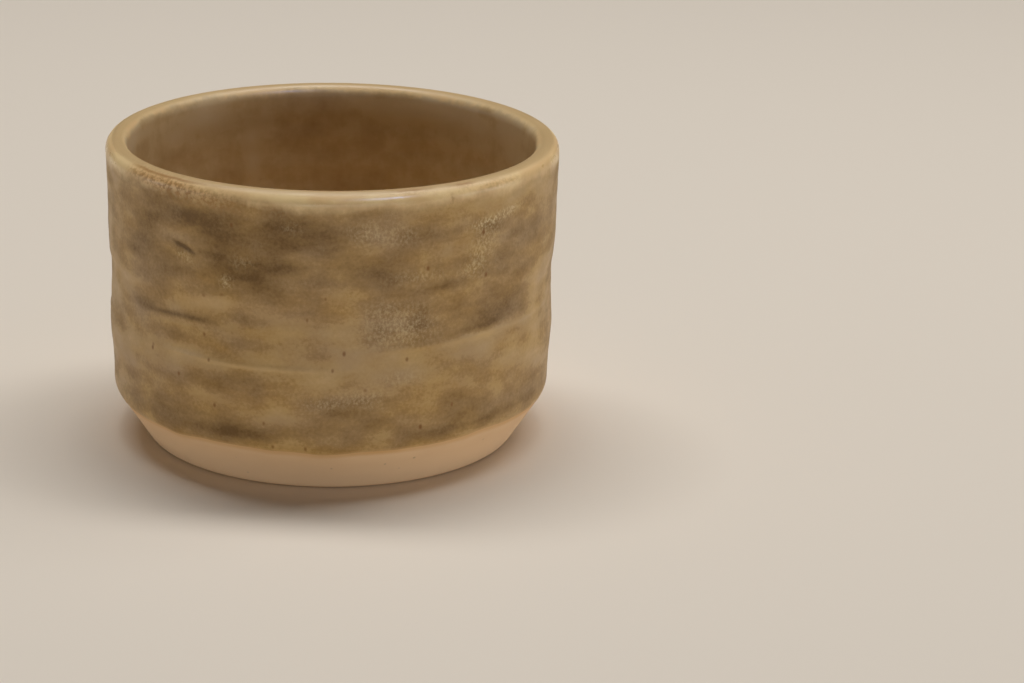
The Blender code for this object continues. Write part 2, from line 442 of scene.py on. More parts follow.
class CupColours(bpy.types.PropertyGroup):
    """Colours of the clay and the two glazes."""

    clay: colour("Clay", "Bare buff stoneware", "#EFC99B")
    # Pale clay also serves as painted light towards the table, low on the bevel
    clay_pale: colour("Pale clay", "Bare stoneware where it fired drier", "#FDDDB3")
    grains: colour("Iron grains", "Dark grains of iron in the bare stoneware", "#5E3F24")
    glaze: colour("Ash glaze", "Outer glaze at its usual thickness", "#BE9757")
    glaze_thin: colour("Thin ash glaze", "Outer glaze where it ran thin over a ridge", "#D5B277")
    glaze_deep: colour("Pooled ash glaze", "Outer glaze where it pooled", "#75531B")
    ochre: colour("Iron stain", "Golden stain of iron in the outer glaze", "#B0853F")
    flash: colour("Flashing", "Orange blush of clay and thin glaze along the glaze line", "#DDB074")
    ash: colour("Ash grey", "Grey cast where more ash settled", "#BB9B72")
    lip: colour("Lip", "Where both glazes broke thin over the lip", "#FADBA3")
    lip_warm: colour("Warm lip", "Where more clay shows through on the lip", "#E3B982")
    # Painted shade: the crest colour is darker than the lip, so the top of the lip takes less of the light
    # from overhead
    crest: colour("Crest", "Along the top of the lip, where the glaze is thinnest", "#C8A877")
    crystal: colour("Crystals", "Fine pale crystals in the outer glaze", "#E4D0A2")
    rust: colour("Rust", "Iron bleeding through on the lip", "#A57436")
    iron: colour("Iron specks", "Burnt iron specks", "#84500C")
    liner: colour("Liner glaze", "Liner at its usual thickness", "#D0B487")
    liner_thin: colour("Thin liner glaze", "Liner where it ran thin", "#D8C09B")
    liner_deep: colour("Thick liner glaze", "Liner where it lies thick", "#AE8A5D")


class CupStage(bpy.types.PropertyGroup):
    """The floor and the studio light."""

    floor: colour("Floor", "Plain pale floor", "#EBDFCF")
    sky: colour("Surround", "Soft light from all round", "#F4EEE6")
    sky_strength: bpy.props.FloatProperty(
        name="Surround strength", description="Brightness of the surround", default=0.012
    )
    key: power("Key power", "Power of the large softbox overhead", 5.5)
    top: power("Top power", "Power of the small softbox overhead", 0.9)
    high: power("High power", "Power of the softbox high on the right", 0.65)
    right: power("Right power", "Power of the low softbox on the right", 0.75)
    left: power("Left power", "Power of the low softbox on the left", 0.66)
    front: power("Front power", "Power of the low softbox in front", 1.1)
    glint: power("Glint power", "Power of the small cool lamp that glints on the lip", 2.0)
    glint_colour: colour("Glint colour", "Cool light of the small lamp", "#90B8FF")


def arc(middle, radius, start, end):
    """Points along an arc of an outline. Angle 0 points away from the axis, and a right angle points up."""
    count = max(2, math.ceil(abs(end - start) / ARC_STEP))
    angles = [start + (end - start) * i / count for i in range(count + 1)]
    return [middle + radius * Vector((math.cos(a), math.sin(a))) for a in angles]


def rounded_corner(before, corner, after, radius):
    """Points along the arc that rounds off the corner between two straight runs of an outline."""
    to_before = (before - corner).normalized()
    to_after = (after - corner).normalized()
    half = to_before.angle(to_after) / 2
    middle = corner + (to_before + to_after).normalized() * radius / math.sin(half)
    first = corner + to_before * radius / math.tan(half) - middle
    last = corner + to_after * radius / math.tan(half) - middle
    start = math.atan2(first.y, first.x)
    sweep = math.remainder(math.atan2(last.y, last.x) - start, math.tau)
    return arc(middle, radius, start, start + sweep)


def smooth_step(low, high, value):
    """0 below low, 1 above high and smooth between."""
    share = np.clip((value - low) / (high - low), 0, 1)
    return share * share * (3 - 2 * share)


def angle_from(azimuth, middle):
    """The angle from a middle azimuth, the short way round."""
    return np.mod(azimuth - middle + math.pi, math.tau) - math.pi


class ClaySkin:
    """The clay's surface as one outline of (radius, height), followed by the distance along it.

    It starts at the middle of the hollow's floor, climbs the inside, goes over the lip, falls down the
    outside and ends at the middle of the foot.
    """

    def __init__(self, sizes):
        coat = sizes.glaze_thickness
        half_lip = sizes.lip_thickness / 2
        lip_middle = Vector((RIM_RADIUS - half_lip, LIP_TOP - half_lip))
        self.lip_radius = half_lip - coat
        lip = arc(lip_middle, self.lip_radius, math.pi, 0)
        floor = Vector((AXIS_HOLE, sizes.floor_height))
        floor_corner = Vector((sizes.hip_radius - sizes.wall_at_floor + coat, sizes.floor_height))
        inside = [floor, *rounded_corner(floor, floor_corner, lip[0], sizes.inner_corner + coat)]
        base = Vector((sizes.hip_radius - sizes.bevel_width, 0))
        hip_height = sizes.bevel_height * (sizes.bevel_width - coat) / sizes.bevel_width
        hip = Vector((sizes.hip_radius - coat, hip_height))
        ring_inside = base.x - sizes.foot_ring
        outside = [
            *rounded_corner(lip[-1], hip, base, sizes.hip_round),
            *rounded_corner(hip, base, Vector((0, 0)), sizes.base_edge),
        ]
        foot = [
            Vector((ring_inside, 0)),
            Vector((ring_inside - sizes.recess_slope, sizes.recess_depth)),
            Vector((AXIS_HOLE, sizes.recess_depth)),
        ]
        points = np.array([*inside, *lip, *outside, *foot])
        reach = np.concatenate([[0], np.cumsum(np.linalg.norm(np.diff(points, axis=0), axis=1))])
        self.lip_start = reach[len(inside)]
        self.wall_start = reach[len(inside) + len(lip) - 1]
        self.foot_start = reach[len(points) - len(foot)]
        self.end = reach[-1]
        self.distance = np.linspace(0, self.end, round(self.end / SKIN_STEP) + 1)
        self.radius = np.interp(self.distance, reach, points[:, 0])
        self.height = np.interp(self.distance, reach, points[:, 1])
        along = np.stack([np.gradient(self.radius), np.gradient(self.height)])
        self.out_radius, self.out_height = np.stack([-along[1], along[0]]) / np.linalg.norm(along, axis=0)

    def at(self, distance, lift):
        """Radius and height of the points at these distances, lifted off the clay."""
        values = (self.radius, self.height, self.out_radius, self.out_height)
        radius, height, out_radius, out_height = (np.interp(distance, self.distance, v) for v in values)
        return radius + lift * out_radius, height + lift * out_height

    def on_lip(self, angle):
        """The distance at this angle on the lip. A right angle is its crest, and 0 its outer side."""
        return self.lip_start + self.lip_radius * (math.pi - angle)

    def down_to(self, height):
        """The distance at which the outside falls to this height."""
        outside = (self.distance > self.wall_start) & (self.distance < self.foot_start)
        return np.interp(-height, -self.height[outside], self.distance[outside])


def wandering(amount, phase):
    """A wander round the cup, from slow and quick waves that don't line up."""
    total = sum(size * np.sin(count * AZIMUTHS + phase * count) for count, size in WANDER_WAVES)
    return amount * total / sum(size for _, size in WANDER_WAVES)


def seam_distance(skin, sizes):
    """Where the two coats meet on the lip, as a distance along the skin at each azimuth."""
    angle = math.pi / 2 - sizes.seam_angle + wandering(sizes.seam_wander, SEAM_PHASE)
    return skin.on_lip(angle)


def line_distance(skin, sizes):
    """Where the outer coat stops above the foot, as a distance along the skin at each azimuth."""
    moved = np.zeros(RING_POINTS)
    for middle, half, rise in LINE_SHIFTS:
        along = angle_from(AZIMUTHS, math.radians(middle)) / math.radians(half)
        moved += rise * MM * np.exp(-(along**2))
    return skin.down_to(sizes.glaze_line + moved + wandering(sizes.line_wander, LINE_PHASE))


def coat_rows(start, end, step, fine_start, fine_end):
    """Distances along the skin for the rows of a coat's seen face, with fine rows measured from each end."""
    first = start + fine_start[:, None]
    last = end - fine_end[::-1, None]
    count = math.ceil(np.max(last[0] - first[-1]) / step)
    middle = first[-1] + (last[0] - first[-1]) * np.linspace(0, 1, count)[1:-1, None]
    return np.concatenate([first, middle, last])


def with_buried_face(seen, lift):
    """Closes a coat: adds rows that lead back from its end to its start, inside the clay."""
    buried = seen[-1] + (seen[0] - seen[-1]) * np.linspace(0, 1, BURIED_ROWS)[:, None]
    return np.concatenate([seen, buried]), np.concatenate([lift, np.full_like(buried, -BURIED_DEPTH)])


def past_seam(distance, sizes):
    """How full a coat is this far past the seam. Below 0 it runs on under the other coat."""
    return smooth_step(-sizes.seam_lap, SEAM_FULL * sizes.seam_lap, distance)


def wall_push(azimuth, height, sizes):
    """How far fingers, ridges, the throwing spiral and an uneven shape push the outside of the wall out."""
    push = np.zeros_like(height)
    for middle, above, below, amount in FINGER_MARKS:
        away = height / MM - middle
        push += amount * MM * np.exp(-((away / np.where(away > 0, above, below)) ** 2))
    for middle, half, level, rise, width, amount in RIDGES:
        along = angle_from(azimuth, math.radians(middle)) / math.radians(half)
        away = (height / MM - level - rise * along) / width
        push += amount * MM * np.exp(-(away**2) - along**6)
    spiral = np.sin(math.tau * height / sizes.ring_pitch + azimuth)
    push += sizes.ring_depth * spiral * smooth_step(*SPIRAL_STARTS, height)
    push -= sizes.lean / 2 * (1 - np.sin(azimuth)) * smooth_step(*LEAN_HEIGHTS, height)
    return push + sizes.out_of_round * (np.sin(SIDES * azimuth - SIDES_TURN) - 1)


def thrown(radius, height, sizes):
    """Moves the points of a turned surface as the potter's hands did. Returns their new radius and height."""
    azimuth = np.broadcast_to(AZIMUTHS, radius.shape)
    outer_face = smooth_step(*OUTER_FACE, radius)
    outside = outer_face * smooth_step(*ABOVE_HIP, height)
    inside = smooth_step(*INNER_WALL, height) * (1 - smooth_step(*INNER_LIP, height)) * (1 - outer_face)
    rings = np.sin(math.tau * height / (INNER_PITCH * sizes.ring_pitch) + azimuth)
    moved = radius + outside * wall_push(azimuth, height, sizes) + inside * sizes.inner_ring_depth * rings
    dip = sizes.rim_dip / 2 * (1 + np.cos(azimuth - LOW_SIDE)) * smooth_step(*RIM_DIPS, height)
    floor = smooth_step(*ABOVE_FOOT, height) * (1 - smooth_step(*FLOOR_EDGE, radius))
    spiral = np.sin(math.tau * radius / sizes.ring_pitch - azimuth) * smooth_step(*FLOOR_SPIRAL, radius)
    dish = sizes.floor_dish * (radius / FLOOR_EDGE[0]) ** 2 + sizes.inner_ring_depth * spiral
    return moved, height - dip + floor * dish


def turned_mesh(name, radius, height, ring, layers):
    """A closed mesh from rows of points round the axis. A ring joins its last row to its first."""
    rows = radius.shape[0]
    azimuth = np.broadcast_to(AZIMUTHS, radius.shape)
    points = np.stack([radius * np.sin(azimuth), -radius * np.cos(azimuth), height], axis=-1).reshape(-1, 3)
    row = np.arange(rows if ring else rows - 1)[:, None] * RING_POINTS
    column = np.arange(RING_POINTS)[None, :]
    right = (column + 1) % RING_POINTS
    below = (row + RING_POINTS) % (rows * RING_POINTS)
    corners = np.stack([row + column, below + column, below + right, row + right], axis=-1)
    faces = corners.reshape(-1, 4).tolist()
    if not ring:
        faces.append(list(range(RING_POINTS)))
        faces.append(list(reversed(range((rows - 1) * RING_POINTS, rows * RING_POINTS))))
    mesh = bpy.data.meshes.new(name)
    mesh.from_pydata(points, [], faces)
    mesh.shade_smooth()
    for layer, values in layers.items():
        attribute = mesh.attributes.new(layer, "FLOAT", "POINT")
        attribute.data.foreach_set("value", np.ascontiguousarray(values, np.float32).ravel())
    return mesh


def place_piece(name, mesh, material, node):
    """Puts a piece in the scene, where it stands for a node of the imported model."""
    mesh.materials.append(material)
    piece = bpy.data.objects.new(name, mesh)
    bpy.context.scene.collection.objects.link(piece)
    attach(piece, "root")
    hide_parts(node)


def painted(marks, azimuth, height):
    """How strongly listed soft marks cover each point of the wall."""
    total = np.zeros(height.shape)
    for middle, level, half_length, half_height, tilt, strength in marks:
        along = angle_from(azimuth, math.radians(middle)) * RIM_RADIUS / MM
        up = height / MM - level
        lean = math.radians(tilt)
        across = (along * math.cos(lean) + up * math.sin(lean)) / half_length
        rise = (up * math.cos(lean) - along * math.sin(lean)) / half_height
        total += strength * np.exp(-(across**2) - rise**2)
    return total


def marks_behind():
    """Marks of depth for the side that faces away, drawn from a fixed seed."""
    draw = random.Random(BACK_SEED)
    return [
        (
            draw.uniform(78, 282),
            draw.uniform(8, 37),
            draw.uniform(3, 10),
            draw.uniform(0.6, 2.4),
            draw.uniform(-3, 5),
            draw.uniform(-0.55, 0.7),
        )
        for _ in range(BACK_MARKS)
    ]


def add(tree, kind, inputs=None, out=0, **settings):
    """Adds a node with its settings, input values and links, and returns one of its outputs.

    Inputs go by name or number. A Map Range takes its value at 0, its range at 1 and 2 and its results at 3
    and 4. A colour Mix takes its share at 0 and its colours at 6 and 7.
    """
    node = tree.nodes.new(kind)
    for name, value in settings.items():
        setattr(node, name, value)
    for name, value in (inputs or {}).items():
        if isinstance(value, bpy.types.NodeSocket):
            tree.links.new(value, node.inputs[name])
        else:
            node.inputs[name].default_value = value
    return node.outputs[out] if node.outputs else node


def new_tree(name):
    """A new material with an empty node tree."""
    material = bpy.data.materials.new(name)
    material.use_nodes = True
    material.node_tree.nodes.clear()
    return material, material.node_tree


def rgba(value):
    """A colour property as the four numbers that a colour socket takes."""
    return (*value, 1.0)


def per_mm(x, y, z):
    """The scale that gives a texture features of these sizes in millimetres."""
    return (1 / (x * MM), 1 / (y * MM), 1 / (z * MM))


def broken_over_lip(tree, place, shade, colours):
    """Lays over a coat's colour what both glazes show where they broke thin over the lip.

    It is pale tan, darker along the crest as painted shade against the bright light from overhead, with rust
    bleeding through on one side and a broken brown line where the coats meet.
    """
    noise = {}
    for name, (size, detail) in {
        "drift": ((6.0, 6.0, 3.0), 3),
        "runs": ((1.2, 1.2, 2.2), 3),
        "blots": ((0.5, 0.5, 0.45), 3),
    }.items():
        scaled = add(tree, "ShaderNodeVectorMath", {0: place, 1: per_mm(*size)}, operation="MULTIPLY")
        noise[name] = add(tree, "ShaderNodeTexNoise", {"Vector": scaled, "Scale": 1.0, "Detail": detail})
    layer = {
        name: add(tree, "ShaderNodeAttribute", out="Fac", attribute_name=name)
        for name in ("rust", "from_crest", "from_seam")
    }
    edge = layer["from_crest"]
    for name, weight in {"drift": 2.4, "runs": 0.8, "blots": 0.4}.items():
        part = add(tree, "ShaderNodeMath", {0: noise[name], 1: 0.5}, operation="SUBTRACT")
        edge = add(tree, "ShaderNodeMath", {0: part, 1: weight, 2: edge}, operation="MULTIPLY_ADD")
    edge = add(tree, "ShaderNodeMath", {0: layer["rust"], 1: 0.45, 2: edge}, operation="MULTIPLY_ADD")
    off_crest = add(tree, "ShaderNodeMath", {0: layer["from_crest"]}, operation="ABSOLUTE")
    shares = {}
    for name, (value, low, high, most) in {
        "outer": (edge, 3.4, 1.5, 1.0),
        "inner": (edge, -1.8, -0.5, 1.0),
        "crest": (off_crest, 1.3, 0.4, 0.95),
        "warm": (noise["drift"], 0.4, 0.6, 0.6),
        "blots": (noise["blots"], 0.42, 0.62, 0.55),
        "seam": (layer["from_seam"], 0.3, 0.04, 0.75),
        "gaps": (layer["rust"], 0.0, 0.6, 1.0),
        "slope": (layer["from_crest"], 0.9, 1.5, 1.0),
    }.items():
        spread = {0: value, 1: low, 2: high, 4: most}
        shares[name] = add(tree, "ShaderNodeMapRange", spread, interpolation_type="SMOOTHSTEP")
    pale = add(tree, "ShaderNodeMath", {0: shares["outer"], 1: shares["inner"]}, operation="MULTIPLY")
    warm = {0: shares["warm"], 1: layer["rust"]}
    warm = add(tree, "ShaderNodeMath", warm, operation="MAXIMUM", use_clamp=True)
    warm = add(tree, "ShaderNodeMath", {0: pale, 1: warm}, operation="MULTIPLY")
    rust = {0: shares["blots"], 1: layer["rust"]}
    rust = add(tree, "ShaderNodeMath", rust, operation="MULTIPLY", use_clamp=True)
    seam = add(tree, "ShaderNodeMath", {0: shares["seam"], 1: shares["gaps"]}, operation="MULTIPLY")
    for share, tint in (
        (pale, colours.lip),
        (warm, colours.lip_warm),
        # Painted shade along the crest of the lip
        (shares["crest"], colours.crest),
        (rust, colours.rust),
        (seam, colours.rust),
    ):
        shade = add(tree, "ShaderNodeMix", {0: share, 6: shade, 7: rgba(tint)}, 2, data_type="RGBA")
    glossy = add(tree, "ShaderNodeMath", {0: pale, 1: shares["slope"]}, operation="MULTIPLY")
    return shade, glossy


def ash_glaze(colours):
    """Wood-ash glaze, poured on and fired to a satin face.

    It breaks light over ridges and pools brown in the hollows, clouded down to the grain with golden iron and
    grey ash. Fine pale crystals lie in pebbly patches, burnt iron specks show through, and the thin lower
    edge is orange.
    """
    material, tree = new_tree("wood_ash_glaze_fired_satin")
    place = add(tree, "ShaderNodeTexCoord", out="Object")
    noise = {}
    for name, (size, detail, grain) in {
        "clouds": ((5.0, 5.0, 2.6), 5, 0.5),
        "bands": ((24.0, 24.0, 1.5), 2, 0.5),
        "iron": ((5.0, 5.0, 2.8), 4, 0.5),
        "ash": ((5.0, 5.0, 3.0), 4, 0.5),
        "grain": ((0.45, 0.45, 0.42), 3, 0.6),
        "needles": ((0.34, 0.34, 0.42), 3, 0.65),
    }.items():
        scaled = add(tree, "ShaderNodeVectorMath", {0: place, 1: per_mm(*size)}, operation="MULTIPLY")
        settings = {"Vector": scaled, "Scale": 1.0, "Detail": detail, "Roughness": grain}
        noise[name] = add(tree, "ShaderNodeTexNoise", settings)
    layer = {
        name: add(tree, "ShaderNodeAttribute", out="Fac", attribute_name=name)
        for name in ("depth", "ochre", "ash", "crystals", "from_line")
    }
    for name, weights in {
        "depth": {"clouds": 2.4, "bands": 0.6, "grain": 1.1},
        "ochre": {"iron": 2.4, "grain": 0.25},
        "ash": {"ash": 2.4, "grain": -0.25},
        "crystals": {"ash": 0.6},
    }.items():
        for field, weight in weights.items():
            part = add(tree, "ShaderNodeMath", {0: noise[field], 1: 0.5}, operation="SUBTRACT")
            summed = {0: part, 1: weight, 2: layer[name]}
            layer[name] = add(tree, "ShaderNodeMath", summed, operation="MULTIPLY_ADD")

    # Darker pebbles of glaze between the crystals, no stronger where the crystals lie thickest
    pebbles = add(tree, "ShaderNodeMath", {0: 0.5, 1: noise["needles"]}, operation="SUBTRACT")
    pebbly = add(tree, "ShaderNodeMath", {0: layer["crystals"], 1: 0.6}, operation="MINIMUM")
    pebbles = add(tree, "ShaderNodeMath", {0: pebbles, 1: pebbly}, operation="MULTIPLY")
    pebbled = {0: pebbles, 1: 1.8, 2: layer["depth"]}
    layer["depth"] = add(tree, "ShaderNodeMath", pebbled, operation="MULTIPLY_ADD")

    shares = {
        name: add(tree, "ShaderNodeMapRange", {0: value, 1: low, 2: high, 4: most})
        for name, (value, low, high, most) in {
            "thin": (layer["depth"], 0.1, -0.9, 1.0),
            "pooled": (layer["depth"], -0.15, 1.35, 1.0),
            "ochre": (layer["ochre"], -0.2, 1.1, 0.75),
            "ash": (layer["ash"], -0.3, 1.0, 0.8),
            "needles": (noise["needles"], 0.46, 0.64, 0.6),
            "line": (layer["from_line"], 0.5, 0.15, 0.5),
        }.items()
    }
    frost = {0: shares["needles"], 1: layer["crystals"]}
    frost = add(tree, "ShaderNodeMath", frost, operation="MULTIPLY", use_clamp=True)

    # Specks, by the distance from their middles on a plain round wall
    flat = add(tree, "ShaderNodeVectorMath", {0: place, 1: (1, 1, 0)}, operation="MULTIPLY")
    flat = add(tree, "ShaderNodeVectorMath", {0: flat}, operation="NORMALIZE")
    upright = add(tree, "ShaderNodeVectorMath", {0: place, 1: (0, 0, SPECK_SQUEEZE)}, operation="MULTIPLY")
    on_wall = {0: flat, 1: (RIM_RADIUS, RIM_RADIUS, 0), 2: upright}
    on_wall = add(tree, "ShaderNodeVectorMath", on_wall, operation="MULTIPLY_ADD")
    cells = add(tree, "ShaderNodeVectorMath", {0: place, 1: per_mm(6.5, 6.5, 6.5)}, operation="MULTIPLY")
    cell = add(tree, "ShaderNodeTexVoronoi", {"Vector": cells, "Scale": 1.0}, "Distance")
    specks = add(tree, "ShaderNodeMapRange", {0: cell, 1: 0.05, 2: 0.02, 4: 0.45})
    for azimuth, height, radius in IRON_SPECKS:
        angle = math.radians(azimuth)
        across, along = RIM_RADIUS * math.sin(angle), -RIM_RADIUS * math.cos(angle)
        middle = (across, along, height * MM * SPECK_SQUEEZE)
        away = add(tree, "ShaderNodeVectorMath", {0: on_wall, 1: middle}, "Value", operation="DISTANCE")
        edge, core = SPECK_EDGE * radius * MM, SPECK_CORE * radius * MM
        spread = {0: away, 1: edge, 2: core, 4: SPECK_STRENGTH * radius}
        speck = add(tree, "ShaderNodeMapRange", spread, interpolation_type="SMOOTHSTEP")
        specks = add(tree, "ShaderNodeMath", {0: specks, 1: speck}, operation="MAXIMUM")

    shade = rgba(colours.glaze)
    for share, tint in (
        (shares["thin"], colours.glaze_thin),
        (shares["ochre"], colours.ochre),
        (shares["ash"], colours.ash),
        (shares["pooled"], colours.glaze_deep),
        (frost, colours.crystal),
        (shares["line"], colours.flash),
        (specks, colours.iron),
    ):
        shade = add(tree, "ShaderNodeMix", {0: share, 6: shade, 7: rgba(tint)}, 2, data_type="RGBA")
    shade, glossy = broken_over_lip(tree, place, shade, colours)

    gloss = add(tree, "ShaderNodeMapRange", {0: noise["clouds"], 1: 0.35, 2: 0.65, 3: 0.4, 4: 0.54})
    gloss = add(tree, "ShaderNodeMath", {0: frost, 1: 0.25, 2: gloss}, operation="MULTIPLY_ADD")
    gloss = add(tree, "ShaderNodeMath", {0: glossy, 1: -0.2, 2: gloss}, operation="MULTIPLY_ADD")
    bump = add(tree, "ShaderNodeBump", {"Height": noise["ash"], "Strength": 0.3, "Distance": 0.1 * MM})
    finish = {"Base Color": shade, "Roughness": gloss, "Normal": bump, "IOR": 1.5}
    surface = add(tree, "ShaderNodeBsdfPrincipled", finish)
    add(tree, "ShaderNodeOutputMaterial", {"Surface": surface})
    return material


def liner_glaze(colours):
    """Brown liner glaze, poured in and out again and fired glossy.

    It runs in soft upright streaks, darker where it lies thick and greyer where it ran thin, and it breaks to
    pale tan over the lip.
    """
    material, tree = new_tree("brown_liner_glaze_fired_glossy")
    place = add(tree, "ShaderNodeTexCoord", out="Object")
    thin = add(tree, "ShaderNodeAttribute", out="Fac", attribute_name="thin")
    noise = {}
    for name, (size, detail, weight) in {
        "streaks": ((4.5, 4.5, 16.0), 3, 1.0),
        "clouds": ((6.0, 6.0, 5.0), 6, 2.4),
    }.items():
        scaled = add(tree, "ShaderNodeVectorMath", {0: place, 1: per_mm(*size)}, operation="MULTIPLY")
        settings = {"Vector": scaled, "Scale": 1.0, "Detail": detail, "Roughness": 0.6}
        noise[name] = add(tree, "ShaderNodeTexNoise", settings)
        part = add(tree, "ShaderNodeMath", {0: noise[name], 1: 0.5}, operation="SUBTRACT")
        thin = add(tree, "ShaderNodeMath", {0: part, 1: weight, 2: thin}, operation="MULTIPLY_ADD")
    shade = rgba(colours.liner)
    for low, high, tint in ((-0.1, 0.9, colours.liner_thin), (0.1, -0.9, colours.liner_deep)):
        share = add(tree, "ShaderNodeMapRange", {0: thin, 1: low, 2: high})
        shade = add(tree, "ShaderNodeMix", {0: share, 6: shade, 7: rgba(tint)}, 2, data_type="RGBA")
    shade, glossy = broken_over_lip(tree, place, shade, colours)
    gloss = add(tree, "ShaderNodeMapRange", {0: noise["clouds"], 1: 0.35, 2: 0.65, 3: 0.34, 4: 0.48})
    gloss = add(tree, "ShaderNodeMath", {0: glossy, 1: -0.15, 2: gloss}, operation="MULTIPLY_ADD")
    bump = add(tree, "ShaderNodeBump", {"Height": noise["clouds"], "Strength": 0.2, "Distance": 0.1 * MM})
    finish = {"Base Color": shade, "Roughness": gloss, "Normal": bump, "IOR": 1.5}
    surface = add(tree, "ShaderNodeBsdfPrincipled", finish)
    add(tree, "ShaderNodeOutputMaterial", {"Surface": surface})
    return material


def bare_stoneware(colours):
    """Buff stoneware, trimmed on the wheel, sponged and fired bare.

    It is smooth and matte, with faint turning lines, an uneven buff, paler towards the table as painted light
    against the shade low on the bevel, an orange blush along the glaze line and a few dark grains of iron.
    """
    material, tree = new_tree("buff_stoneware_trimmed_and_fired_bare")
    place = add(tree, "ShaderNodeTexCoord", out="Object")
    noise = {}
    for name, size in {"clouds": (10, 10, 6), "lines": (30, 30, 0.3), "grit": (0.25, 0.25, 0.25)}.items():
        scaled = add(tree, "ShaderNodeVectorMath", {0: place, 1: per_mm(*size)}, operation="MULTIPLY")
        settings = {"Vector": scaled, "Scale": 1.0, "Detail": 3.0, "Roughness": 0.5}
        noise[name] = add(tree, "ShaderNodeTexNoise", settings)
    below_line = add(tree, "ShaderNodeAttribute", out="Fac", attribute_name="below_line")
    cells = add(tree, "ShaderNodeVectorMath", {0: place, 1: per_mm(3.2, 3.2, 3.2)}, operation="MULTIPLY")
    cell = add(tree, "ShaderNodeTexVoronoi", {"Vector": cells, "Scale": 1.0}, "Distance")
    shares = {}
    for name, (value, low, high, most) in {
        "uneven": (noise["clouds"], 0.35, 0.65, 0.3),
        "blush": (below_line, 1.1, 0.15, 1.3),
        "grains": (cell, 0.09, 0.03, 0.3),
    }.items():
        spread = {0: value, 1: low, 2: high, 4: most}
        shares[name] = add(tree, "ShaderNodeMapRange", spread, interpolation_type="SMOOTHSTEP")
    height = add(tree, "ShaderNodeSeparateXYZ", {0: place}, "Z")
    # Painted light: the clay is paler towards the table, where the bevel falls into shade; the cloud noise
    # adds real uneven tone
    near_table = add(tree, "ShaderNodeMapRange", {0: height, 1: 5.5 * MM, 2: 1.0 * MM})
    pale_and_painted_light = add(tree, "ShaderNodeMath", {0: near_table, 1: shares["uneven"]}, operation="MAXIMUM")
    blush = add(tree, "ShaderNodeMath", {0: shares["blush"], 1: noise["clouds"]}, operation="MULTIPLY")
    shade = rgba(colours.clay)
    for share, tint in ((pale_and_painted_light, colours.clay_pale), (blush, colours.flash), (shares["grains"], colours.grains)):
        shade = add(tree, "ShaderNodeMix", {0: share, 6: shade, 7: rgba(tint)}, 2, data_type="RGBA")
    relief = add(tree, "ShaderNodeMath", {0: noise["lines"], 1: noise["grit"]}, operation="ADD")
    bump = add(tree, "ShaderNodeBump", {"Height": relief, "Strength": 0.2, "Distance": 0.05 * MM})
    finish = {"Base Color": shade, "Roughness": 0.8, "Normal": bump, "IOR": 1.5}
    surface = add(tree, "ShaderNodeBsdfPrincipled", finish)
    add(tree, "ShaderNodeOutputMaterial", {"Surface": surface})
    return material


def plain_floor(stage):
    """Pale painted board, matte and even."""
    material, tree = new_tree("pale_painted_board")
    surface = add(tree, "ShaderNodeBsdfPrincipled", {"Base Color": rgba(stage.floor), "Roughness": 0.7})
    add(tree, "ShaderNodeOutputMaterial", {"Surface": surface})
    return material


class CUP_OT_clay_body(bpy.types.Operator):
    """Shape the thrown clay body, which shows at the foot"""

    bl_idname = "cup.clay_body"
    bl_label = "Clay body"

    def execute(self, context):
        sizes = context.scene.cup_sizes
        skin = ClaySkin(sizes)
        shown_from = skin.down_to(CLAY_SHOWS_BELOW)
        hidden = np.arange(0, shown_from, HIDDEN_ROW)
        shown = np.arange(shown_from, skin.end, CLAY_ROW)
        distance = np.concatenate([hidden, shown, [skin.end]])
        distance = np.repeat(distance[:, None], RING_POINTS, axis=1)
        radius, height = thrown(*skin.at(distance, 0), sizes)
        layers = {"below_line": (distance - line_distance(skin, sizes)) / MM}
        mesh = turned_mesh("thrown_clay_body", radius, height, False, layers)
        material = bare_stoneware(context.scene.cup_colours)
        place_piece("thrown_clay_body", mesh, material, "clay_body")
        return {"FINISHED"}


class CUP_OT_outer_glaze(bpy.types.Operator):
    """Coat the outside with ash glaze, from the seam on the lip to the glaze line"""

    bl_idname = "cup.outer_glaze"
    bl_label = "Outer glaze"

    def execute(self, context):
        sizes = context.scene.cup_sizes
        skin = ClaySkin(sizes)
        seam = seam_distance(skin, sizes)
        line = line_distance(skin, sizes)
        lap = np.linspace(0, 2 * sizes.seam_lap, LAP_ROWS)
        bead = sizes.bead * (1 - np.cos(np.linspace(0, math.pi / 2, BEAD_ROWS)))
        seen = coat_rows(seam - sizes.seam_lap, line, OUTER_ROW, lap, bead)
        roll = np.sqrt(1 - (1 - np.clip((line - seen) / sizes.bead, 0, 1)) ** 2)
        rise = ROLL_SHARE * roll + (1 - ROLL_SHARE) * smooth_step(0, sizes.feather, line - seen)
        thickness = sizes.glaze_thickness * rise * past_seam(seen - seam, sizes)
        distance, lift = with_buried_face(seen, thickness)
        radius, height = skin.at(distance, lift)
        azimuth = np.broadcast_to(AZIMUTHS, radius.shape)
        layers = {
            "depth": painted([*DEPTH_MARKS, *marks_behind()], azimuth, height),
            "ochre": painted(OCHRE_MARKS, azimuth, height),
            "ash": painted(ASH_MARKS, azimuth, height),
            "crystals": painted(CRYSTAL_MARKS, azimuth, height),
            "rust": painted(RUST_MARKS, azimuth, height),
            "from_crest": (distance - skin.on_lip(math.pi / 2)) / MM,
            "from_seam": np.abs(distance - seam) / MM,
            "from_line": (line - distance) / MM,
        }
        radius, height = thrown(radius, height, sizes)
        mesh = turned_mesh("ash_glaze_coat", radius, height, True, layers)
        material = ash_glaze(context.scene.cup_colours)
        place_piece("ash_glaze_coat", mesh, material, "outer_glaze")
        return {"FINISHED"}


